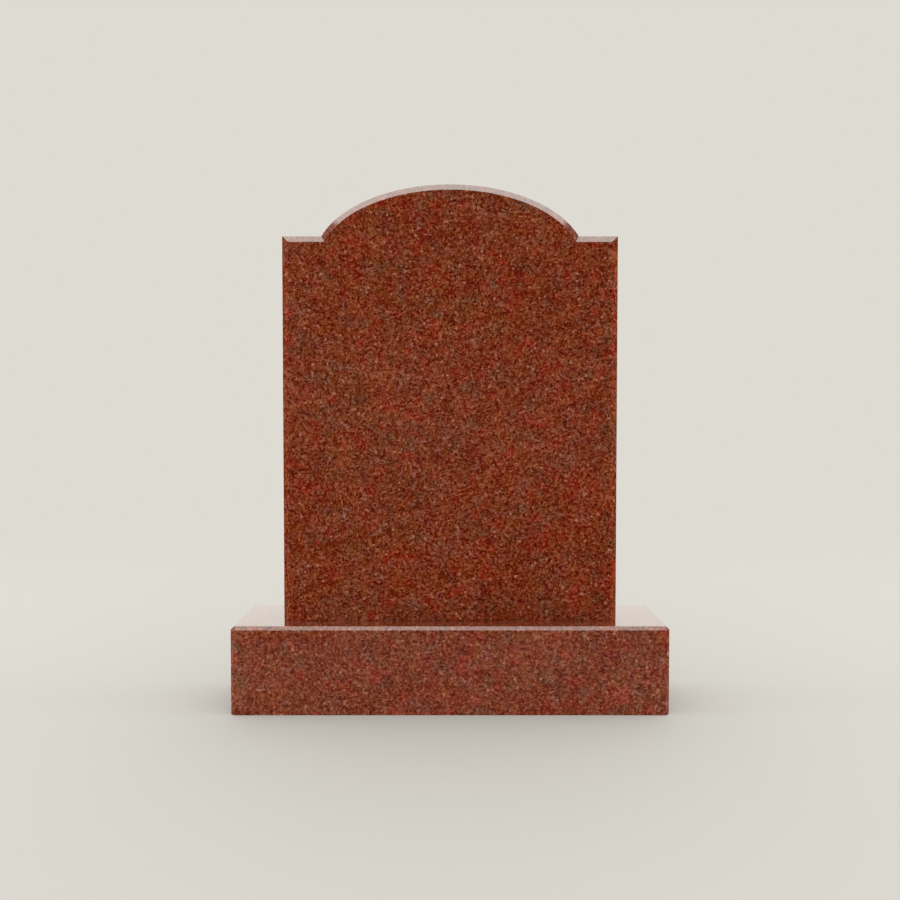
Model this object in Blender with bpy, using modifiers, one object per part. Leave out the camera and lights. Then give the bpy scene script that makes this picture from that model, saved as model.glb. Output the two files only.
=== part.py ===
"""Upright granite headstone: an arched tablet standing on a chamfered base.

Metres, +Z up. The origin is the middle of the base's underside, the front face
looks along -Y and +X is to the viewer's right.
"""

from math import acos, cos, pi, radians, sin, sqrt

import bmesh
import bpy

# Tablet: straight sides, level shoulders and a low elliptical arch between them
TABLET_WIDTH = 0.600
TABLET_THICKNESS = 0.100
TABLET_CHAMFER = 0.012
SHOULDER_HEIGHT = 0.689
SHOULDER_WIDTH = 0.070
ARCH_RISE = 0.092
ARCH_CENTRE_DROP = 0.043

# Base: a low block, with a ledge of its top left showing all round the tablet
SIDE_LEDGE = 0.085
FRONT_LEDGE = 0.050
BACK_LEDGE = 0.050
BASE_HEIGHT = 0.156
BASE_CHAMFER = 0.006
BASE_WIDTH = TABLET_WIDTH + 2 * SIDE_LEDGE
BASE_DEPTH = FRONT_LEDGE + TABLET_THICKNESS + BACK_LEDGE

# The tablet stands on the base, with a gap as thin as a dry bedding line
BEDDING_GAP = 0.0003
TABLET_FOOT = BASE_HEIGHT + BEDDING_GAP
TABLET_MIDDLE = (FRONT_LEDGE - BACK_LEDGE) / 2

# Flat stretches that stand for the arch's smooth curve
ARCH_STEPS = 96

# Corners closer than this are one corner, faces turned less than this are one face
WELD_DISTANCE = 0.00001
FLAT_ANGLE = radians(0.05)

# Edges that turn more than this stay crisp
CRISP_ANGLE = radians(10)

# Polished red granite, a little lighter on the base
TABLET_COLOUR = (0.178, 0.038, 0.015, 1.0)
BASE_COLOUR = (0.198, 0.050, 0.026, 1.0)
GRANITE_ROUGHNESS = 0.12


def clear_objects():
    """Remove whatever the opened file holds."""
    for old in list(bpy.data.objects):
        bpy.data.objects.remove(old, do_unlink=True)


def new_collection(name):
    """Add a collection to the scene."""
    collection = bpy.data.collections.new(name)
    bpy.context.scene.collection.children.link(collection)
    return collection


def polished_granite(name, colour):
    """A plain polished stone in the piece's mean colour."""
    material = bpy.data.materials.new(name)
    material.use_nodes = True
    shader = material.node_tree.nodes["Principled BSDF"]
    shader.inputs["Base Color"].default_value = colour
    shader.inputs["Roughness"].default_value = GRANITE_ROUGHNESS
    shader.inputs["Metallic"].default_value = 0.0
    return material


def keep_only_in(collection, piece):
    """Move the piece out of every other collection."""
    for old in list(piece.users_collection):
        old.objects.unlink(piece)
    collection.objects.link(piece)


def any_edge(edge):
    """Every edge of a block is an arris."""
    return True


def outline_edge(edge):
    """An edge that runs along the front or back outline, not through the stone."""
    front, back = (vert.co.y for vert in edge.verts)
    return abs(front - back) < WELD_DISTANCE


def chamfer(piece, width, is_arris):
    """Chamfer the edges that is_arris picks, but leave the sawn foot square."""
    bm = bmesh.new()
    bm.from_mesh(piece.data)
    foot = min(vert.co.z for vert in bm.verts)
    weight = bm.edges.layers.float.new("bevel_weight_edge")
    for edge in bm.edges:
        at_foot = all(vert.co.z - foot < WELD_DISTANCE for vert in edge.verts)
        if is_arris(edge) and not at_foot:
            edge[weight] = 1.0
    bm.to_mesh(piece.data)
    bm.free()
    bevel = piece.modifiers.new("chamfer", "BEVEL")
    bevel.limit_method = "WEIGHT"
    bevel.offset_type = "OFFSET"
    bevel.width = width
    bevel.segments = 1
    bevel.use_clamp_overlap = False


def arch_points():
    """Points along the arch, from its left springing to its right one.

    The ellipse's centre lies below the shoulder line. Its half height is the rise
    and that drop together, and its half width makes it cross the shoulder line
    where the two shoulders end.
    """
    half_height = ARCH_RISE + ARCH_CENTRE_DROP
    half_span = TABLET_WIDTH / 2 - SHOULDER_WIDTH
    half_width = half_span / sqrt(1 - (ARCH_CENTRE_DROP / half_height) ** 2)
    centre = TABLET_FOOT + SHOULDER_HEIGHT - ARCH_CENTRE_DROP
    springing = acos(half_span / half_width)
    points = []
    for step in range(ARCH_STEPS + 1):
        angle = pi - springing - (pi - 2 * springing) * step / ARCH_STEPS
        points.append((half_width * cos(angle), centre + half_height * sin(angle)))
    return points


def tablet_outline():
    """The front outline of the tablet, from its left foot over the arch."""
    side = TABLET_WIDTH / 2
    shoulder = TABLET_FOOT + SHOULDER_HEIGHT
    left = [(-side, TABLET_FOOT), (-side, shoulder)]
    right = [(side, shoulder), (side, TABLET_FOOT)]
    return left + arch_points() + right


def standing_outline(name, outline, thickness, middle):
    """A curve filled and extruded to its thickness, stood upright."""
    curve = bpy.data.curves.new(name, "CURVE")
    curve.dimensions = "2D"
    curve.fill_mode = "BOTH"
    curve.extrude = thickness / 2
    spline = curve.splines.new("POLY")
    spline.points.add(len(outline) - 1)
    for point, (across, up) in zip(spline.points, outline):
        point.co = (across, up, 0.0, 1.0)
    spline.use_cyclic_u = True
    piece = bpy.data.objects.new(name, curve)
    piece.rotation_euler.x = pi / 2
    piece.location.y = middle
    return piece


def mesh_from_curve(curve_object, collection):
    """Put a welded mesh with whole flat faces in place of the curve."""
    name = curve_object.name
    collection.objects.link(curve_object)
    bpy.context.view_layer.update()
    evaluated = curve_object.evaluated_get(bpy.context.evaluated_depsgraph_get())
    mesh = bpy.data.meshes.new_from_object(evaluated)
    mesh.transform(curve_object.matrix_world)
    bpy.data.objects.remove(curve_object, do_unlink=True)
    bm = bmesh.new()
    bm.from_mesh(mesh)
    bmesh.ops.remove_doubles(bm, verts=bm.verts, dist=WELD_DISTANCE)
    bmesh.ops.dissolve_limit(bm, angle_limit=FLAT_ANGLE, verts=bm.verts, edges=bm.edges)
    bmesh.ops.recalc_face_normals(bm, faces=bm.faces)
    bm.to_mesh(mesh)
    bm.free()
    piece = bpy.data.objects.new(name, mesh)
    collection.objects.link(piece)
    return piece


def make_base(collection):
    """The block that the tablet stands on."""
    bpy.ops.mesh.primitive_cube_add(size=1, location=(0, 0, BASE_HEIGHT / 2))
    piece = bpy.context.active_object
    piece.name = "base"
    piece.scale = (BASE_WIDTH, BASE_DEPTH, BASE_HEIGHT)
    bpy.ops.object.transform_apply(location=True, rotation=False, scale=True)
    keep_only_in(collection, piece)
    chamfer(piece, BASE_CHAMFER, any_edge)
    piece.data.materials.append(polished_granite("base_granite", BASE_COLOUR))


def make_tablet(collection):
    """The upright stone, chamfered along its front and back outlines."""
    curve_object = standing_outline(
        "headstone", tablet_outline(), TABLET_THICKNESS, TABLET_MIDDLE
    )
    piece = mesh_from_curve(curve_object, collection)
    chamfer(piece, TABLET_CHAMFER, outline_edge)
    piece.data.shade_smooth()
    piece.data.set_sharp_from_angle(angle=CRISP_ANGLE)
    piece.data.materials.clear()
    piece.data.materials.append(polished_granite("headstone_granite", TABLET_COLOUR))


def main():
    clear_objects()
    stone = new_collection("upright_headstone")
    make_base(stone)
    make_tablet(stone)


main()
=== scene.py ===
"""Looks of an upright headstone of polished red granite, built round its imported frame.

Metres, +Z up, the front face towards -Y. Two stones are remade as fine surfaces,
a tablet and the base that it stands on, and dressed in one granite whose crystals
run through each block, so that the grain goes round every edge.
"""

import logging
import math
from dataclasses import dataclass
from enum import Enum

import bmesh
import bpy
import numpy as np
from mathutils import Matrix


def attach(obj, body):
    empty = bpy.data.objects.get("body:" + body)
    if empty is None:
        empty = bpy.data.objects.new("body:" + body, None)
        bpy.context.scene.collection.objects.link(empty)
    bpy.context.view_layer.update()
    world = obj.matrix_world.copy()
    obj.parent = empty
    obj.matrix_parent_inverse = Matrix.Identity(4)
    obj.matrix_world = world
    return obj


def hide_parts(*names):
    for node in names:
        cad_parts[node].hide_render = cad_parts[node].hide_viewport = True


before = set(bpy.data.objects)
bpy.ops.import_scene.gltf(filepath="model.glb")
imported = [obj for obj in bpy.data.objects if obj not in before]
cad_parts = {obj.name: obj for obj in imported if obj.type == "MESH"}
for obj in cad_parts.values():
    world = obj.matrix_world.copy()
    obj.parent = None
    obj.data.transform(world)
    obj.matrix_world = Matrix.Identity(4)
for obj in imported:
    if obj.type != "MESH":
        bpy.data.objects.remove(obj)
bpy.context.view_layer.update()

# A colour with its cover as a socket takes it, and three values: a seen colour or a place
Colour = tuple[float, float, float, float]
Triple = tuple[float, float, float]

# The name of the empty that both stones hang from
BODY = "root"

# Closer than this, two corners are one
HAIR = 0.00002

# A face whose normal points down by more than this is an underside
STRAIGHT_DOWN = 0.999

# What reads as a true edge, and not as a step of a curve, in radians
TRUE_EDGE = math.radians(20)

# How many flat steps an eased edge has, and the full lead of flat faces in its shading
ARRIS_STEPS = 3
FULL_LEAD = 100

# The brightest value of a seen channel
WHITE = 255

# The display curve: straight up to the knee, and above it a power of the raised value
CURVE_KNEE = 0.04045
CURVE_SLOPE = 12.92
CURVE_RAISE = 0.055
CURVE_POWER = 2.4

# The middle of every random value, which lies between 0 and 1
MIDDLE = 0.5

# The colour sockets of the Mix node, whose names its other kinds share
MIX_FIRST = 6
MIX_SECOND = 7
MIX_RESULT = 2

LOG = logging.getLogger("headstone")


class Finish(Enum):
    """How a face of a stone is worked, and its place among the stone's materials."""

    POLISHED = 0
    SAWN = 1


class Stand(Enum):
    """Which way a carried outline stands: across and up, or laid flat."""

    UPRIGHT = "upright"
    FLAT = "flat"


@dataclass(frozen=True)
class Station:
    """One step of a profile: how far the outline is drawn in, how deep it lies,
    and the share of it that is left when it closes towards its middle."""

    inset: float
    level: float
    share: float = 1.0


def seen(red: float, green: float, blue: float) -> Colour:
    """A colour as the eye reads it, from 0 to 255, as shares of 1.

    Args:
        red: how red it is.
        green: how green it is.
        blue: how blue it is.

    Returns:
        The four values that a colour socket takes, not yet turned into light.
    """
    return (red / WHITE, green / WHITE, blue / WHITE, 1.0)


def as_light(red: float, green: float, blue: float) -> Colour:
    """The light that a seen colour stands for.

    Args:
        red: how red it looks, from 0 to 255.
        green: how green it looks.
        blue: how blue it looks.

    Returns:
        Each channel by the usual display curve, and full cover.
    """
    shares = np.array([red, green, blue]) / WHITE
    low = shares / CURVE_SLOPE
    high = ((shares + CURVE_RAISE) / (1 + CURVE_RAISE)) ** CURVE_POWER
    return (*np.where(shares <= CURVE_KNEE, low, high).tolist(), 1.0)


def corners_of(node: str) -> np.ndarray:
    """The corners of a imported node.

    Args:
        node: the node's name.

    Returns:
        One row of x, y and z for each corner.
    """
    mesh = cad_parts[node].data
    flat = np.empty(len(mesh.vertices) * 3, np.float32)
    mesh.vertices.foreach_get("co", flat)
    return flat.reshape(-1, 3).astype(float)


def drawn_in(outline: np.ndarray, chamfered: np.ndarray) -> np.ndarray:
    """The way each corner of an outline moves as its chamfered edges are drawn in.

    Between two edges that are alike the corner runs along their mitre, the sum of
    their outward normals over one plus their product. Between a chamfered edge and
    a plain one it runs straight in from the chamfered one.

    Args:
        outline: corners of a closed line that runs anticlockwise.
        chamfered: for each corner, 1 where the edge that leaves it is chamfered.

    Returns:
        For each corner, its move for an inset of one metre.
    """
    along = np.roll(outline, -1, axis=0) - outline
    along /= np.linalg.norm(along, axis=1, keepdims=True)
    leaving = np.column_stack([along[:, 1], -along[:, 0]])
    coming = np.roll(leaving, 1, axis=0)
    before = np.roll(chamfered, 1)
    product = np.sum(leaving * coming, axis=1)
    mitre = (leaving + coming) / (1 + product)[:, None]
    alike = before == chamfered
    mixed = leaving * chamfered[:, None] + coming * before[:, None]
    return -np.where(alike[:, None], mitre * chamfered[:, None], mixed)


def carried(
    outline: np.ndarray, chamfered: np.ndarray, stations: list[Station], stand: Stand
) -> tuple[np.ndarray, np.ndarray]:
    """Carries an outline through its stations, from one closed end to the other.

    The point at column i and row j is the outline's corner i, moved by the inset of
    station j, then drawn towards the middle by that station's share, at its level.

    Args:
        outline: corners of a closed line that runs anticlockwise.
        chamfered: for each corner, 1 where the edge that leaves it is chamfered.
        stations: the profile, which begins and ends closed, with a share of 0.
        stand: whether the outline stands upright or lies flat.

    Returns:
        The grid's points and its four-cornered faces.
    """
    inset = np.array([station.inset for station in stations])[:, None, None]
    share = np.array([station.share for station in stations])[:, None, None]
    level = np.array([station.level for station in stations])[:, None]
    rings = outline + inset * drawn_in(outline, chamfered)
    middle = (rings.min(axis=1, keepdims=True) + rings.max(axis=1, keepdims=True)) / 2
    rings = middle + share * (rings - middle)
    depth = np.broadcast_to(level, rings.shape[:2])
    first, second = rings[..., 0], rings[..., 1]
    order = (first, depth, second) if stand is Stand.UPRIGHT else (first, second, depth)
    points = np.stack(order, axis=-1).reshape(-1, 3)
    rows, columns = rings.shape[:2]
    index = np.arange(rows * columns).reshape(rows, columns)
    beside = np.roll(index, -1, axis=1)
    faces = np.stack([index[:-1], beside[:-1], beside[1:], index[1:]], axis=-1)
    return points, faces.reshape(-1, 4)


def closing(station: Station, rings: int) -> list[Station]:
    """Stations that close a flat end, from its edge to its middle.

    Args:
        station: the edge of the flat end.
        rings: how many steps it takes.

    Returns:
        The steps, evenly apart, the last of them closed to a point.
    """
    shares = [1 - step / rings for step in range(1, rings + 1)]
    return [Station(station.inset, station.level, share) for share in shares]


def divided(
    corners: np.ndarray, chamfered: np.ndarray, step: float
) -> tuple[np.ndarray, np.ndarray]:
    """Divides the long edges of an outline evenly.

    Args:
        corners: corners of a closed line.
        chamfered: for each corner, 1 where the edge that leaves it is chamfered.
        step: about how long a piece of an edge may be.

    Returns:
        The line with its new corners, and their flags.
    """
    following = np.roll(corners, -1, axis=0)
    lengths = np.linalg.norm(following - corners, axis=1)
    pieces = np.maximum(1, np.ceil(lengths / step)).astype(int)
    edge = np.repeat(np.arange(len(corners)), pieces)
    place = np.arange(len(edge)) - np.repeat(np.cumsum(pieces) - pieces, pieces)
    part = (place / pieces[edge])[:, None]
    return corners[edge] * (1 - part) + following[edge] * part, chamfered[edge]


def closed_mesh(name: str, points: np.ndarray, faces: np.ndarray) -> bpy.types.Object:
    """Makes one closed mesh of a grid, with its poles welded and its faces outwards.

    Args:
        name: the piece's name.
        points: one row for each point.
        faces: one row of four point numbers for each face.

    Returns:
        The new piece, at the origin.
    """
    mesh = bpy.data.meshes.new(name)
    mesh.from_pydata(points.tolist(), [], faces.tolist())
    welded = bmesh.new()
    welded.from_mesh(mesh)
    bmesh.ops.remove_doubles(welded, verts=welded.verts, dist=HAIR)
    bmesh.ops.recalc_face_normals(welded, faces=welded.faces)
    welded.to_mesh(mesh)
    welded.free()
    mesh.shade_smooth()
    piece = bpy.data.objects.new(name, mesh)
    bpy.context.scene.collection.objects.link(piece)
    return piece


def saw_underside(piece: bpy.types.Object) -> None:
    """Gives the faces that look straight down the sawn finish.

    Args:
        piece: a stone with both finishes among its materials.
    """
    mesh = piece.data
    normals = np.empty(len(mesh.polygons) * 3, np.float32)
    mesh.polygons.foreach_get("normal", normals)
    down = normals.reshape(-1, 3)[:, 2] < -STRAIGHT_DOWN
    finish = np.where(down, Finish.SAWN.value, Finish.POLISHED.value).astype(np.int32)
    mesh.polygons.foreach_set("material_index", finish)


def ease_arrises(piece: bpy.types.Object, width: float) -> None:
    """Takes the sharpness off every true edge, and keeps the flat faces flat to the eye.

    Args:
        piece: a stone with crisp edges.
        width: how far the easing reaches from each edge.
    """
    arris = piece.modifiers.new("eased_arrises", "BEVEL")
    arris.limit_method = "ANGLE"
    arris.angle_limit = TRUE_EDGE
    arris.offset_type = "OFFSET"
    arris.width = width
    arris.segments = ARRIS_STEPS
    arris.use_clamp_overlap = False
    light = piece.modifiers.new("flat_faces_lead", "WEIGHTED_NORMAL")
    light.mode = "FACE_AREA"
    light.weight = FULL_LEAD
    light.keep_sharp = False


class Board:
    """A node tree with short calls that add nodes and join them."""

    def __init__(self, tree: bpy.types.NodeTree) -> None:
        """Empties the tree.

        Args:
            tree: a material's or the world's node tree.
        """
        self.tree = tree
        tree.nodes.clear()

    def node(self, kind: str, **settings: object) -> bpy.types.Node:
        """Adds a node.

        Args:
            kind: the node's type, without the words that every shader node's starts with.
            **settings: the node's own properties.

        Returns:
            The node.
        """
        made = self.tree.nodes.new("ShaderNode" + kind)
        for key, value in settings.items():
            setattr(made, key, value)
        return made

    def feed(self, socket: bpy.types.NodeSocket, value: object) -> None:
        """Joins an output to a socket, or sets the socket to a plain value.

        Args:
            socket: the input.
            value: an output socket, a number, or a row of numbers.
        """
        if isinstance(value, bpy.types.NodeSocket):
            self.tree.links.new(value, socket)
        else:
            socket.default_value = value

    def sum(self, operation: str, *values: object) -> bpy.types.NodeSocket:
        """A step of arithmetic.

        Args:
            operation: the name of the step.
            *values: numbers or outputs.

        Returns:
            The result.
        """
        made = self.node("Math", operation=operation)
        for socket, value in zip(made.inputs, values):
            self.feed(socket, value)
        return made.outputs[0]

    def arrows(self, operation: str, *values: object) -> bpy.types.NodeSocket:
        """A step of vector arithmetic.

        Args:
            operation: the name of the step.
            *values: rows of three numbers, or outputs.

        Returns:
            The resulting vector.
        """
        made = self.node("VectorMath", operation=operation)
        for socket, value in zip(made.inputs, values):
            self.feed(socket, value)
        return made.outputs["Vector"]

    def scaled(self, vector: object, by: object) -> bpy.types.NodeSocket:
        """A vector made longer or shorter.

        Args:
            vector: the vector.
            by: how many times as long.

        Returns:
            The new vector.
        """
        made = self.node("VectorMath", operation="SCALE")
        self.feed(made.inputs["Vector"], vector)
        self.feed(made.inputs["Scale"], by)
        return made.outputs["Vector"]

    def rise(self, value: object, low: float, high: float) -> bpy.types.NodeSocket:
        """A smooth step, 0 below the lower value and 1 above the higher one.

        Args:
            value: what is tested.
            low: where the rise begins.
            high: where it ends.

        Returns:
            The share, from 0 to 1.
        """
        made = self.node("MapRange", interpolation_type="SMOOTHSTEP")
        self.feed(made.inputs["Value"], value)
        made.inputs["From Min"].default_value = low
        made.inputs["From Max"].default_value = high
        return made.outputs["Result"]

    def between(self, share: object, first: object, second: object) -> bpy.types.NodeSocket:
        """A colour between two.

        Args:
            share: 0 for the first, 1 for the second.
            first: a colour or an output.
            second: a colour or an output.

        Returns:
            The mixed colour.
        """
        made = self.node("Mix", data_type="RGBA")
        self.feed(made.inputs["Factor"], share)
        self.feed(made.inputs[MIX_FIRST], first)
        self.feed(made.inputs[MIX_SECOND], second)
        return made.outputs[MIX_RESULT]

    def channel(self, colour: object, name: str) -> bpy.types.NodeSocket:
        """One channel of a colour.

        Args:
            colour: the colour.
            name: Red, Green or Blue.

        Returns:
            The channel's value.
        """
        made = self.node("SeparateColor")
        self.feed(made.inputs["Color"], colour)
        return made.outputs[name]

    def swing(self, chance: object, width: float) -> bpy.types.NodeSocket:
        """A random value, moved and scaled so that it swings evenly about nought.

        Args:
            chance: the random value, between 0 and 1.
            width: from the lowest result to the highest.

        Returns:
            The result.
        """
        return self.sum("MULTIPLY", self.sum("SUBTRACT", chance, MIDDLE), width)

    def cells(self, place: object, width: float) -> bpy.types.Node:
        """Crystals packed at random.

        Args:
            place: where in the block, in metres.
            width: about how wide a crystal is, in metres.

        Returns:
            The node, whose colour is one random value for each crystal.
        """
        made = self.node("TexVoronoi")
        self.feed(made.inputs["Vector"], place)
        made.inputs["Scale"].default_value = 1 / width
        return made

    def cloud(self, place: object, width: float, detail: float = 2.0) -> bpy.types.Node:
        """Soft noise.

        Args:
            place: where in the block, in metres.
            width: about how wide its largest patches are, in metres.
            detail: how many finer layers it has.

        Returns:
            The node.
        """
        made = self.node("TexNoise")
        self.feed(made.inputs["Vector"], place)
        made.inputs["Scale"].default_value = 1 / width
        made.inputs["Detail"].default_value = detail
        return made

    def picked(self, chance: object, kinds: list[tuple[float, Colour]]) -> bpy.types.Node:
        """Picks one of several colours by chance.

        Args:
            chance: a random value between 0 and 1.
            kinds: for each colour its share, and the colour with its cover.

        Returns:
            The node, with the colour and its cover.
        """
        ramp = self.node("ValToRGB")
        ramp.color_ramp.interpolation = "CONSTANT"
        stops = ramp.color_ramp.elements
        ready = len(stops)
        start = 0.0
        for number, (share, colour) in enumerate(kinds):
            stop = stops[number] if number < ready else stops.new(start)
            stop.position = start
            stop.color = colour
            start += share
        self.feed(ramp.inputs["Fac"], chance)
        return ramp

    def relief(self, height: object) -> bpy.types.NodeSocket:
        """Turns a height in metres into the way that the surface leans.

        Args:
            height: how far each place stands out.

        Returns:
            The leaning normal.
        """
        made = self.node("Bump")
        made.inputs["Strength"].default_value = 1.0
        made.inputs["Distance"].default_value = 1.0
        self.feed(made.inputs["Height"], height)
        return made.outputs["Normal"]


@dataclass(frozen=True)
class Mineral:
    """One mineral: the share of the stone that it makes, and the colour that it shows."""

    share: float
    colour: Triple


# From the usual feldspar to the redder and the greyer kinds
MINERALS = (
    Mineral(0.33, (117, 50, 22)),
    Mineral(0.22, (118, 52, 20)),
    Mineral(0.11, (125, 44, 19)),
    Mineral(0.10, (117, 44, 21)),
    Mineral(0.14, (114, 52, 30)),
    Mineral(0.10, (109, 54, 30)),
)


@dataclass(frozen=True)
class Fleck:
    """A kind of single grain: the share of the grains, its colour and how fully it shows."""

    share: float
    colour: Triple
    strength: float


# The share of the grains that are flakes of mica
MICA = 0.035

# Dark mica, then grey, red, orange and pale grains
FLECKS = (
    Fleck(MICA, (88, 16, 0), 0.85),
    Fleck(0.012, (106, 80, 58), 0.26),
    Fleck(0.022, (138, 28, 14), 0.32),
    Fleck(0.018, (138, 60, 18), 0.32),
    Fleck(0.014, (180, 122, 98), 0.7),
)

# The rest of the grains show their crystal's own colour, as a cover of 0 hides this grey
NO_FLECK = (MIDDLE, MIDDLE, MIDDLE, 0.0)


@dataclass(frozen=True)
class Cloud:
    """Soft patches in the rock: how wide they are, how far tint and tone swing, and how
    many finer layers they have."""

    width: float
    tint: float
    tone: float
    detail: float = 1.0


CLOUDS = (Cloud(0.045, 0.10, 0.08), Cloud(0.25, 0.04, 0.05))


@dataclass(frozen=True)
class Block:
    """The quarry block that a stone is cut from: which part of the rock, how much
    lighter its colour is painted, as a painted reflection of the pale floor and painted light,
    and how strongly its grains and its tints differ."""

    start: Triple
    lift: float = 0.0
    contrast: float = 1.0


# Places in the rock, picked for how the large light and dark patches lie
TABLET_BLOCK = Block((5.1, 2.4, 3.0))
# The base's lift is painted light: a painted reflection of the pale floor, and painted light that
# evens its brightness with the tablet's
BASE_BLOCK = Block((4.2, 2.7, 4.8), lift=0.023, contrast=0.92)


@dataclass(frozen=True)
class Polish:
    """A clear mirror polish, over grains that took it unevenly.

    Roughness runs from the smoothest up by the uneven share, and pits and ripples are
    metres high.
    """

    smoothest: float = 0.07
    uneven: float = 0.08
    mica_duller: float = 0.03
    pit: float = 0.00002
    ripple: float = 0.00004
    ripple_width: float = 0.03
    stone_ior: float = 1.5
    coat: float = 1.0
    coat_roughness: float = 0.03
    coat_ior: float = 1.5

    def work(self, board: Board, shader: bpy.types.Node, place: object, grains: object) -> None:
        """Sets how the surface shines and how level it is.

        Roughness differs from grain to grain, and the soft flakes of mica are duller and
        a little below the rest. The whole face has the long faint ripple of a polishing head.

        Args:
            board: the material's nodes.
            shader: the surface's shader.
            place: where in the block.
            grains: three random values for each grain.
        """
        mica = board.sum("LESS_THAN", board.channel(grains, "Blue"), MICA)
        red = board.channel(grains, "Red")
        uneven = board.sum("MULTIPLY_ADD", red, self.uneven, self.smoothest)
        roughness = board.sum("MULTIPLY_ADD", mica, self.mica_duller, uneven)
        board.feed(shader.inputs["Roughness"], roughness)
        noise = board.cloud(place, self.ripple_width, 0.0).outputs["Fac"]
        ripple = board.sum("MULTIPLY", noise, self.ripple)
        height = board.sum("MULTIPLY_ADD", mica, -self.pit, ripple)
        normal = board.relief(height)
        board.feed(shader.inputs["Normal"], normal)
        board.feed(shader.inputs["Coat Normal"], normal)
        shader.inputs["IOR"].default_value = self.stone_ior
        shader.inputs["Coat Weight"].default_value = self.coat
        shader.inputs["Coat Roughness"].default_value = self.coat_roughness
        shader.inputs["Coat IOR"].default_value = self.coat_ior

    def shade(self, board: Board, place: object, colour: object) -> object:
        """Polish brings the stone's full colour out, so it is left as it is.

        Args:
            board: the material's nodes; not used.
            place: where in the block; not used.
            colour: the stone's colour, as seen.

        Returns:
            The same colour.
        """
        return colour


@dataclass(frozen=True)
class SawnFace:
    """A dry face straight from the saw: dull, greyed by dust and finely scored.

    The dust covers its usual share, and more or less by half its swing. Scores are
    stretched along the cut, and they and the grains' tooth are metres high.
    """

    roughness: float = 0.62
    uneven: float = 0.12
    dust: Triple = (176, 146, 132)
    dust_cover: float = 0.42
    dust_swing: float = 0.4
    score_width: float = 0.0042
    score_stretch: float = 0.03
    score_depth: float = 0.00012
    tooth: float = 0.00006

    def scores(self, board: Board, place: object) -> bpy.types.NodeSocket:
        """The saw's marks: soft noise, drawn out along the cut.

        Args:
            board: the material's nodes.
            place: where in the block.

        Returns:
            A value between 0 and 1.
        """
        drawn_out = board.arrows("MULTIPLY", place, (self.score_stretch, 1.0, 1.0))
        return board.cloud(drawn_out, self.score_width).outputs["Fac"]

    def work(self, board: Board, shader: bpy.types.Node, place: object, grains: object) -> None:
        """Sets how dull the surface is and how the saw scored it.

        Args:
            board: the material's nodes.
            shader: the surface's shader.
            place: where in the block.
            grains: three random values for each grain.
        """
        red = board.channel(grains, "Red")
        roughness = board.sum("MULTIPLY_ADD", red, self.uneven, self.roughness)
        board.feed(shader.inputs["Roughness"], roughness)
        scored = board.sum("MULTIPLY", self.scores(board, place), self.score_depth)
        height = board.sum("MULTIPLY_ADD", red, self.tooth, scored)
        board.feed(shader.inputs["Normal"], board.relief(height))

    def shade(self, board: Board, place: object, colour: object) -> bpy.types.NodeSocket:
        """Greys the stone with dust, more in the saw's marks.

        Args:
            board: the material's nodes.
            place: where in the block.
            colour: the stone's colour, as seen.

        Returns:
            The dusty colour.
        """
        least = self.dust_cover - self.dust_swing / 2
        cover = board.sum("MULTIPLY_ADD", self.scores(board, place), self.dust_swing, least)
        return board.between(cover, colour, seen(*self.dust))


FINISHES = {Finish.POLISHED: Polish(), Finish.SAWN: SawnFace()}


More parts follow.
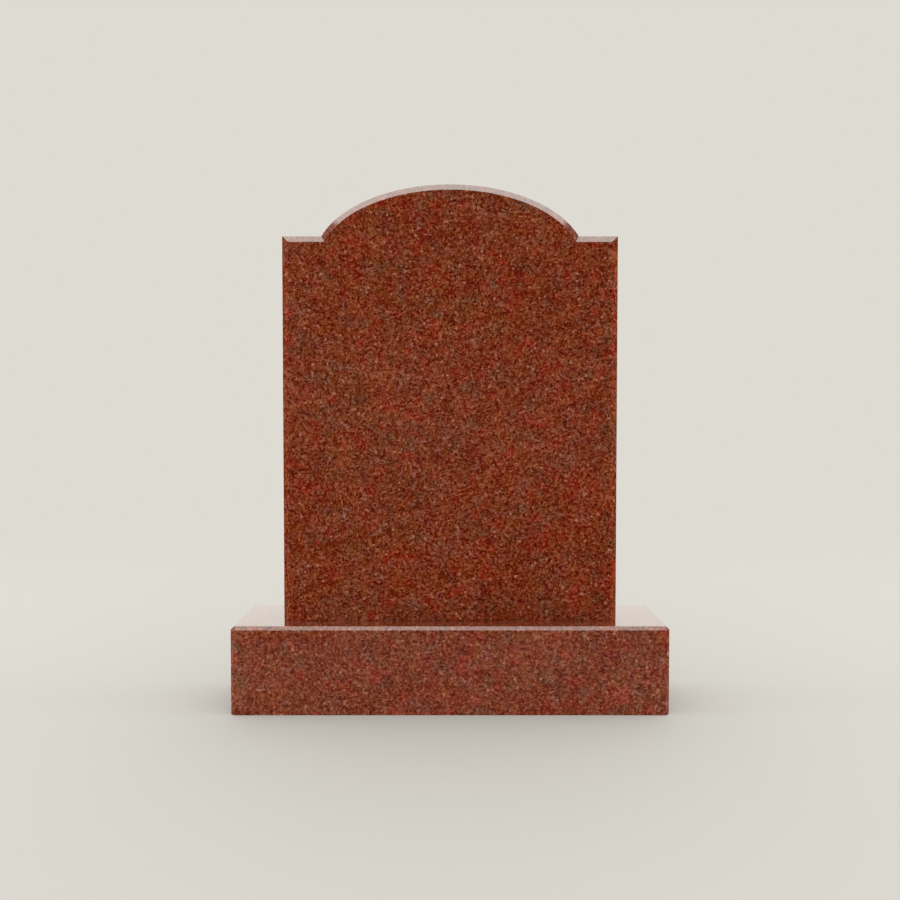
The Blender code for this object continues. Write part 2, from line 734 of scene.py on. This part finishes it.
@dataclass(frozen=True)
class Granite:
    """Red granite: crystals of several minerals, each broken into lighter and darker grains.

    Everything follows the place in the block, so the crystals go round the edges.
    Colours are mixed as the eye sees them and only then turned into light. Crystals,
    streaks, grains and specks are given by their width, and the bends of the crystals'
    borders as shares of a crystal.
    """

    name: str
    block: Block
    finish: Finish
    crystal: float = 0.0165
    bend_width: float = 0.5
    bend_reach: float = 0.7
    streak: float = 0.0026
    streak_stretch: float = 0.40
    grain: float = 0.0040
    speck: float = 0.0019
    lighter: Triple = (0.90, 0.995, 1.14)
    greyer: Triple = (-0.82, 0.37, 0.45)
    streak_contrast: float = 0.181
    grain_contrast: float = 0.171
    speck_contrast: float = 0.124
    darkest: float = 0.008

    def build(self) -> bpy.types.Material:
        """Makes the material.

        Returns:
            The material, ready for a piece.
        """
        material = bpy.data.materials.new(self.name)
        material.use_nodes = True
        board = Board(material.node_tree)
        coordinates = board.node("TexCoord").outputs["Object"]
        place = board.arrows("ADD", coordinates, self.block.start)
        crystals = board.cells(self.ragged(board, place), self.crystal).outputs["Color"]
        grains = board.cells(place, self.grain).outputs["Color"]
        colour = self.mineral_colour(board, crystals)
        colour = board.arrows("ADD", colour, self.clouding(board, place))
        colour = board.arrows("ADD", colour, self.tone(board, place, crystals, grains))
        colour = self.flecked(board, colour, grains)
        finish = FINISHES[self.finish]
        shader = board.node("BsdfPrincipled")
        colour = finish.shade(board, place, colour)
        board.feed(shader.inputs["Base Color"], self.light_of(board, colour))
        finish.work(board, shader, place, grains)
        output = board.node("OutputMaterial")
        board.feed(output.inputs["Surface"], shader.outputs["BSDF"])
        return material

    def ragged(self, board: Board, place: object) -> bpy.types.NodeSocket:
        """Bends space a little, so that crystals meet along ragged lines.

        Args:
            board: the material's nodes.
            place: where in the block.

        Returns:
            The place, moved by soft noise.
        """
        noise = board.cloud(place, self.crystal * self.bend_width).outputs["Color"]
        move = board.arrows("SUBTRACT", noise, (MIDDLE, MIDDLE, MIDDLE))
        return board.arrows("ADD", place, board.scaled(move, self.crystal * self.bend_reach))

    def mineral_colour(self, board: Board, chance: object) -> bpy.types.NodeSocket:
        """Gives each crystal its mineral by chance.

        Args:
            board: the material's nodes.
            chance: three random values for each crystal.

        Returns:
            The mineral's colour, as seen.
        """
        kinds = [(mineral.share, seen(*mineral.colour)) for mineral in MINERALS]
        return board.picked(board.channel(chance, "Red"), kinds).outputs["Color"]

    def clouding(self, board: Board, place: object) -> bpy.types.NodeSocket:
        """Slow changes of tint and tone through the block, on top of its painted light lift: a
        painted reflection of the pale floor, the same all over the block.

        Args:
            board: the material's nodes.
            place: where in the block.

        Returns:
            What is added to each channel, as seen.
        """
        # The tone starts from the block's painted light lift, a painted reflection of the pale
        # floor and painted light, even all over
        tint, tone = 0.0, self.block.lift
        for cloud in CLOUDS:
            noise = board.cloud(place, cloud.width, cloud.detail).outputs["Color"]
            greyed = board.swing(board.channel(noise, "Red"), cloud.tint * self.block.contrast)
            lit = board.swing(board.channel(noise, "Green"), cloud.tone)
            tint = board.sum("ADD", tint, greyed)
            tone = board.sum("ADD", tone, lit)
        greys = board.scaled(self.greyer, tint)
        return board.arrows("ADD", greys, board.scaled(self.lighter, tone))

    def tone(
        self, board: Board, place: object, crystals: object, grains: object
    ) -> bpy.types.NodeSocket:
        """How much lighter or darker each grain is than its mineral.

        Each crystal has streaks of its own direction: the place is turned by the
        crystal's random values and shortened along one axis before it is cut into cells.

        Args:
            board: the material's nodes.
            place: where in the block.
            crystals: three random values for each crystal.
            grains: three random values for each grain.

        Returns:
            What is added to each channel, as seen.
        """
        turned = board.node("VectorRotate", rotation_type="EULER_XYZ")
        board.feed(turned.inputs["Vector"], place)
        board.feed(turned.inputs["Rotation"], board.scaled(crystals, math.tau))
        along = board.arrows("MULTIPLY", turned.outputs["Vector"], (1.0, 1.0, self.streak_stretch))
        streaks = board.cells(along, self.streak).outputs["Color"]
        specks = board.cells(place, self.speck).outputs["Color"]
        contrast = self.block.contrast
        streak = board.swing(board.channel(streaks, "Green"), self.streak_contrast * contrast)
        grain = board.swing(board.channel(grains, "Green"), self.grain_contrast * contrast)
        speck = board.swing(board.channel(specks, "Green"), self.speck_contrast * contrast)
        total = board.sum("ADD", board.sum("ADD", streak, grain), speck)
        return board.scaled(self.lighter, total)

    def flecked(self, board: Board, colour: object, grains: object) -> bpy.types.NodeSocket:
        """Adds single grains of other minerals: dark mica, grey, red and orange, and pale ones.

        Args:
            board: the material's nodes.
            colour: the stone's colour so far, as seen.
            grains: three random values for each grain.

        Returns:
            The colour with its flecks.
        """
        kinds = [(fleck.share, (*seen(*fleck.colour)[:3], fleck.strength)) for fleck in FLECKS]
        rest = 1 - sum(fleck.share for fleck in FLECKS)
        kinds.append((rest, NO_FLECK))
        picked = board.picked(board.channel(grains, "Blue"), kinds)
        return board.between(picked.outputs["Alpha"], colour, picked.outputs["Color"])

    def light_of(self, board: Board, colour: object) -> bpy.types.NodeSocket:
        """Turns a seen colour into light, by the part of the display curve above its knee.

        The colour, never darker than the darkest, has the curve's raise added, is
        divided by one plus that raise, and goes to the curve's power.

        Args:
            board: the material's nodes.
            colour: the colour, as seen.

        Returns:
            The colour for the shader.
        """
        kept = board.arrows("MAXIMUM", colour, (self.darkest,) * 3)
        raised = board.arrows("ADD", kept, (CURVE_RAISE,) * 3)
        light = board.node("Gamma")
        board.feed(light.inputs["Color"], board.scaled(raised, 1 / (1 + CURVE_RAISE)))
        light.inputs["Gamma"].default_value = CURVE_POWER
        return light.outputs["Color"]


@dataclass(frozen=True)
class Tablet:
    """The upright stone: straight sides, level shoulders and an elliptical arch."""

    side: float
    front: float
    back: float
    foot: float
    shoulder: float
    springing: float
    crown: float
    half_height: float
    half_width: float
    chamfer: float
    arris: float = 0.0005
    arch_steps: int = 192
    edge_step: float = 0.05
    rings: int = 6

    @classmethod
    def from_frame(cls) -> "Tablet":
        """Reads the stone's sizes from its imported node.

        The arch is an ellipse: with w the depth below the crown, w squared is twice
        the half height times w, less x squared times the square of the half height
        over the half width. Both unknowns follow from the arch's corners.

        Returns:
            The stone.
        """
        corners = corners_of("headstone")
        across, through, up = corners.T
        side = across.max()
        front = through.min()
        face = corners[through < front + HAIR]
        chamfer = side - face[:, 0].max()
        rim = corners[np.abs(through - front - chamfer) < HAIR]
        shoulder = rim[rim[:, 0] > side - HAIR, 2].max()
        level = rim[(np.abs(rim[:, 2] - shoulder) < HAIR) & (rim[:, 0] < side - HAIR)]
        crown = up.max()
        arch = rim[rim[:, 2] > shoulder + HAIR]
        below = crown - arch[:, 2]
        terms = np.column_stack([2 * below, -arch[:, 0] ** 2])
        (half_height, square), *_ = np.linalg.lstsq(terms, below**2, rcond=None)
        return cls(
            side=side,
            front=front,
            back=through.max(),
            foot=up.min(),
            shoulder=shoulder,
            springing=level[:, 0].max(),
            crown=crown,
            half_height=half_height,
            half_width=half_height / math.sqrt(square),
            chamfer=chamfer,
        )

    def outline(self) -> tuple[np.ndarray, np.ndarray]:
        """The stone's outline, anticlockwise from its right foot.

        The arch's points are the half width times the cosine of an angle across, and
        the half height times its sine above the ellipse's centre.

        Returns:
            Its corners, and for each whether the edge that leaves it is chamfered.
        """
        centre = self.crown - self.half_height
        start = math.acos(self.springing / self.half_width)
        turn = np.linspace(start, math.pi - start, self.arch_steps + 1)
        arch = np.column_stack(
            [self.half_width * np.cos(turn), centre + self.half_height * np.sin(turn)]
        )
        right = [(self.side, self.foot), (self.side, self.shoulder)]
        left = [(-self.side, self.shoulder), (-self.side, self.foot)]
        corners = np.concatenate([right, arch, left])
        chamfered = np.ones(len(corners))
        chamfered[-1] = 0
        return divided(corners, chamfered, self.edge_step)

    def profile(self) -> list[Station]:
        """The stone's thickness.

        Returns:
            Its steps, from the middle of its front to the middle of its back.
        """
        front_edge = Station(self.chamfer, self.front)
        back_edge = Station(self.chamfer, self.back)
        rim = [
            Station(0.0, self.front + self.chamfer),
            Station(0.0, self.back - self.chamfer),
        ]
        front = list(reversed(closing(front_edge, self.rings)))
        return [*front, front_edge, *rim, back_edge, *closing(back_edge, self.rings)]

    def build(self) -> bpy.types.Object:
        """Builds the stone's surface.

        Returns:
            The piece.
        """
        outline, chamfered = self.outline()
        points, faces = carried(outline, chamfered, self.profile(), Stand.UPRIGHT)
        return closed_mesh("granite_tablet", points, faces)


@dataclass(frozen=True)
class Base:
    """The low block, chamfered up its four corners and round its top."""

    side: float
    front: float
    back: float
    foot: float
    top: float
    chamfer: float
    arris: float = 0.0005
    edge_step: float = 0.05
    rings: int = 3

    @classmethod
    def from_frame(cls) -> "Base":
        """Reads the block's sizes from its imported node.

        Returns:
            The block.
        """
        corners = corners_of("base")
        across, through, up = corners.T
        top = up.max()
        flat = corners[up > top - HAIR]
        return cls(
            side=across.max(),
            front=through.min(),
            back=through.max(),
            foot=up.min(),
            top=top,
            chamfer=across.max() - flat[:, 0].max(),
        )

    def outline(self) -> tuple[np.ndarray, np.ndarray]:
        """The block's plan, anticlockwise, with its corners cut off.

        Returns:
            Its corners, and for each whether the edge that leaves it is chamfered on top.
        """
        cut = self.chamfer
        corners = np.array(
            [
                (self.side - cut, self.front),
                (self.side, self.front + cut),
                (self.side, self.back - cut),
                (self.side - cut, self.back),
                (cut - self.side, self.back),
                (-self.side, self.back - cut),
                (-self.side, self.front + cut),
                (cut - self.side, self.front),
            ]
        )
        chamfered = np.tile([0.0, 1.0], 4)
        return divided(corners, chamfered, self.edge_step)

    def profile(self) -> list[Station]:
        """The block's height.

        Returns:
            Its steps, from the middle of its underside to the middle of its top.
        """
        under = Station(0.0, self.foot)
        wall = Station(0.0, self.top - self.chamfer)
        top = Station(self.chamfer, self.top)
        below = list(reversed(closing(under, self.rings)))
        return [*below, under, wall, top, *closing(top, self.rings)]

    def build(self) -> bpy.types.Object:
        """Builds the block's surface.

        Returns:
            The piece.
        """
        outline, chamfered = self.outline()
        points, faces = carried(outline, chamfered, self.profile(), Stand.FLAT)
        return closed_mesh("granite_base", points, faces)


@dataclass(frozen=True)
class Studio:
    """A plain pale floor, soft light from both sides, and the photograph's viewpoint.

    The polish mirrors a studio of its own: a dark floor, walls that are dimmest away from
    their far end, a pale backdrop behind the stone and a bright ceiling. Where one
    gives way to the next is told by how far a direction points up, or away from the
    camera's side, from -1 to 1.
    """

    pale: Colour = as_light(222, 219, 210)
    soft: Colour = (1.21, 1.21, 1.21, 1.0)
    floor_below: Colour = (0.08, 0.085, 0.08, 1.0)
    floor_beyond: Colour = (0.15, 0.155, 0.155, 1.0)
    dim: Colour = (0.005, 0.005, 0.005, 1.0)
    far_end: Colour = (0.025, 0.025, 0.025, 1.0)
    upper_walls: Colour = (0.2, 0.27, 0.27, 1.0)
    backdrop: Colour = (1.08, 1.08, 1.0, 1.0)
    ceiling: Colour = (2.12, 2.32, 2.23, 1.0)
    horizon: float = -0.01
    far_end_fades: tuple[float, float] = (0.0, 0.14)
    floor_recedes: tuple[float, float] = (-0.31, -0.22)
    floor_ends: tuple[float, float] = (-0.236, -0.206)
    walls_brighten: tuple[float, float] = (0.25, 0.65)
    backdrop_starts: tuple[float, float] = (0.7, 0.9)
    backdrop_rises: tuple[float, float] = (0.0, 0.05)
    ceiling_starts: tuple[float, float] = (0.72, 0.77)
    floor_colour: Colour = (0.53, 0.515, 0.47, 1.0)
    floor_roughness: float = 0.8
    floor_shine: float = 0.2
    floor_fades: tuple[float, float] = (1.3, 3.2)
    floor_reach: float = 30.0
    panel_reach: float = 6.0
    panel_height: float = 1.0
    panel_size: tuple[float, float] = (3.6, 1.8)
    panel_power: float = 207.0
    panel_aim: float = 0.45
    camera_back: float = 1.7764
    camera_height: float = 0.5273
    camera_pitch: float = math.radians(2.105)
    camera_view: float = math.radians(49.94)

    def camera(self) -> None:
        """Places the camera in front of the stone, tipped a little down."""
        data = bpy.data.cameras.new("camera")
        data.angle = self.camera_view
        camera = bpy.data.objects.new("camera", data)
        camera.location = (0.0, -self.camera_back, self.camera_height)
        camera.rotation_euler = (math.pi / 2 - self.camera_pitch, 0.0, 0.0)
        bpy.context.scene.collection.objects.link(camera)
        bpy.context.scene.camera = camera

    def floor(self) -> None:
        """Lays the floor, which far out takes the even colour of the backdrop."""
        reach = self.floor_reach
        mesh = bpy.data.meshes.new("floor")
        corners = [(-reach, -reach, 0), (reach, -reach, 0), (reach, reach, 0), (-reach, reach, 0)]
        mesh.from_pydata(corners, [], [(0, 1, 2, 3)])
        floor = bpy.data.objects.new("floor", mesh)
        bpy.context.scene.collection.objects.link(floor)
        material = bpy.data.materials.new("pale_floor")
        material.use_nodes = True
        board = Board(material.node_tree)
        coordinates = board.node("TexCoord").outputs["Object"]
        length = board.node("VectorMath", operation="LENGTH")
        board.feed(length.inputs[0], coordinates)
        far = board.rise(length.outputs["Value"], *self.floor_fades)
        matte = board.node("BsdfPrincipled")
        matte.inputs["Base Color"].default_value = self.floor_colour
        matte.inputs["Roughness"].default_value = self.floor_roughness
        matte.inputs["Specular IOR Level"].default_value = self.floor_shine
        glow = board.node("Emission")
        glow.inputs["Color"].default_value = self.pale
        mixed = board.node("MixShader")
        blend = (far, matte.outputs["BSDF"], glow.outputs["Emission"])
        for socket, value in zip(mixed.inputs, blend):
            board.feed(socket, value)
        output = board.node("OutputMaterial")
        board.feed(output.inputs["Surface"], mixed.outputs["Shader"])
        mesh.materials.append(material)
        # The polish mirrors the floor of its own studio instead
        floor.visible_glossy = False

    def world(self) -> None:
        """Even soft light all round, a pale backdrop to the camera, and what the polish mirrors."""
        world = bpy.data.worlds.new("studio")
        world.use_nodes = True
        bpy.context.scene.world = world
        board = Board(world.node_tree)
        direction = board.node("TexCoord").outputs["Generated"]
        parts = board.node("SeparateXYZ")
        board.feed(parts.inputs["Vector"], direction)
        mirrored = self.mirrored(board, parts.outputs["Y"], parts.outputs["Z"])
        path = board.node("LightPath")
        shared = board.between(path.outputs["Is Glossy Ray"], self.soft, mirrored)
        shown = board.between(path.outputs["Is Camera Ray"], shared, self.pale)
        background = board.node("Background")
        board.feed(background.inputs["Color"], shown)
        output = board.node("OutputWorld")
        board.feed(output.inputs["Surface"], background.outputs["Background"])

    def mirrored(self, board: Board, along: object, up: object) -> bpy.types.NodeSocket:
        """What the polish mirrors, from the dark floor up to the bright ceiling.

        Args:
            board: the world's nodes.
            along: how far the direction points away from the camera's side.
            up: how far it points up.

        Returns:
            The light from that direction.
        """
        height = board.sum("ABSOLUTE", board.sum("SUBTRACT", up, self.horizon))
        walls = board.between(board.rise(height, *self.far_end_fades), self.far_end, self.dim)
        receding = board.rise(up, *self.floor_recedes)
        floor = board.between(receding, self.floor_below, self.floor_beyond)
        view = board.between(board.rise(up, *self.floor_ends), floor, walls)
        brightening = board.rise(up, *self.walls_brighten)
        view = board.between(brightening, view, self.upper_walls)
        ahead = board.rise(along, *self.backdrop_starts)
        behind = board.sum("MULTIPLY", ahead, board.rise(up, *self.backdrop_rises))
        view = board.between(behind, view, self.backdrop)
        return board.between(board.rise(up, *self.ceiling_starts), view, self.ceiling)

    def panel(self, name: str, side: int) -> None:
        """Hangs a soft panel that lights the stone from one side and isn't mirrored in it.

        It is first tipped about X, by the angle between straight down and its aim, and
        then turned about Z towards the stone.

        Args:
            name: the light's name.
            side: -1 for the left, 1 for the right.
        """
        data = bpy.data.lights.new(name, "AREA")
        data.shape = "RECTANGLE"
        data.size, data.size_y = self.panel_size
        data.energy = self.panel_power
        light = bpy.data.objects.new(name, data)
        light.location = (side * self.panel_reach, 0.0, self.panel_height)
        pitch = math.atan2(self.panel_reach, self.panel_height - self.panel_aim)
        light.rotation_euler = (pitch, 0.0, side * math.pi / 2)
        light.visible_camera = False
        light.visible_glossy = False
        bpy.context.scene.collection.objects.link(light)

    def build(self) -> None:
        """Sets up the whole studio."""
        bpy.context.scene.view_settings.view_transform = "Standard"
        self.camera()
        self.floor()
        self.world()
        self.panel("left_panel", -1)
        self.panel("right_panel", 1)


def dress(piece: bpy.types.Object, block: Block) -> None:
    """Gives a stone its polished and sawn granite.

    Args:
        piece: the stone.
        block: the block that it is cut from.
    """
    for finish in Finish:
        name = f"{piece.name}_{finish.name.lower()}"
        piece.data.materials.append(Granite(name, block, finish).build())
    saw_underside(piece)


def place(piece: bpy.types.Object, node: str, slot: str) -> None:
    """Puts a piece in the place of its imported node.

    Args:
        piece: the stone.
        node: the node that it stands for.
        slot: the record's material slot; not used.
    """
    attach(piece, BODY)
    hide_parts(node)
    LOG.info("%s: %d faces, in place of %s", piece.name, len(piece.data.polygons), node)


def main() -> None:
    """Builds the studio and both stones."""
    logging.basicConfig(level=logging.INFO, format="%(message)s")
    Studio().build()
    tablet = Tablet.from_frame()
    stone = tablet.build()
    dress(stone, TABLET_BLOCK)
    ease_arrises(stone, tablet.arris)
    place(stone, "headstone", "headstone_granite")
    base = Base.from_frame()
    block = base.build()
    dress(block, BASE_BLOCK)
    ease_arrises(block, base.arris)
    place(block, "base", "base_granite")


if __name__ == "__main__":
    main()
